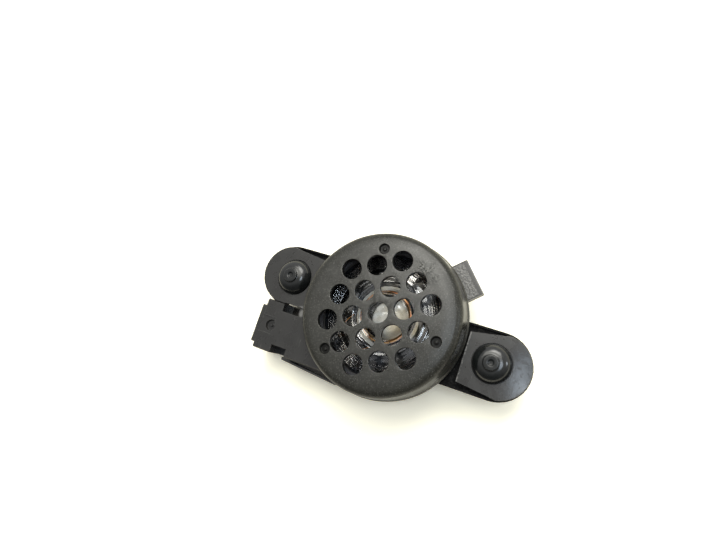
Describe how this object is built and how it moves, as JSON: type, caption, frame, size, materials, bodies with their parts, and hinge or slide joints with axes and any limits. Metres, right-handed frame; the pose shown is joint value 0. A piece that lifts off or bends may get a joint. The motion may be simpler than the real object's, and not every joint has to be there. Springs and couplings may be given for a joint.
{
  "type": "in-car sounder loudspeaker",
  "caption": "Small round in-car sounder loudspeaker: perforated cap on a moulded housing with two buffered ears, a side tab and a plug socket.",
  "frame": {"origin": "on the axis of the round cap, in the plane of the housing's flat rear face", "axes": "+Z out of the perforated face, +X along the straight edges of the right ear, +Y towards the side tab's half"},
  "size_m": [0.0838, 0.0464, 0.022],
  "materials": {
    "black_plastic": "fine spark-eroded grain, slightly satin",
    "cap_plastic": "fine grain, satin",
    "black_rubber": "smooth moulded rubber with a soft shine",
    "frame_plastic": "glossy black",
    "plated_steel": "yellow-passivated zinc plating",
    "magnet_nickel": "nickel plating",
    "clear_film": "clear glossy polymer film",
    "copper_wire": "enamelled copper",
    "former_paper": "brown coated paper",
    "edge_card": "black pressed card",
    "grey_foam": "open-cell foam",
    "terminal_board": "brown laminate board",
    "tinned_metal": "tinned metal",
    "red_sleeve": "red insulation",
    "black_sleeve": "black insulation"
  },
  "bodies": {
    "housing": {"rear_housing": "black_plastic", "grille_cap": "cap_plastic", "left_rubber_buffer": "black_rubber", "right_rubber_buffer": "black_rubber", "speaker_frame": "frame_plastic", "magnet_pot": "plated_steel", "magnet": "magnet_nickel", "pole_plate": "plated_steel", "surround": "clear_film", "edge_ring": "edge_card", "front_gasket": "grey_foam", "rear_foam_pad": "grey_foam", "terminal_board": "terminal_board", "negative_solder_lug": "tinned_metal", "positive_solder_lug": "tinned_metal", "negative_coil_lead": "copper_wire", "positive_coil_lead": "copper_wire", "negative_contact_pin": "tinned_metal", "positive_contact_pin": "tinned_metal", "negative_feed_wire": "black_sleeve", "positive_feed_wire": "red_sleeve"},
    "moving_film": {"diaphragm": "clear_film", "voice_coil": "copper_wire", "coil_former": "former_paper"}
  },
  "joints": [
    {"name": "film_stroke", "type": "slide", "parent": "housing", "child": "moving_film", "axis": [0, 0, 1], "range_m": [-0.0004, 0.0004], "stiffness_N_per_m": 1500, "deforming": ["surround"]}
  ]
}
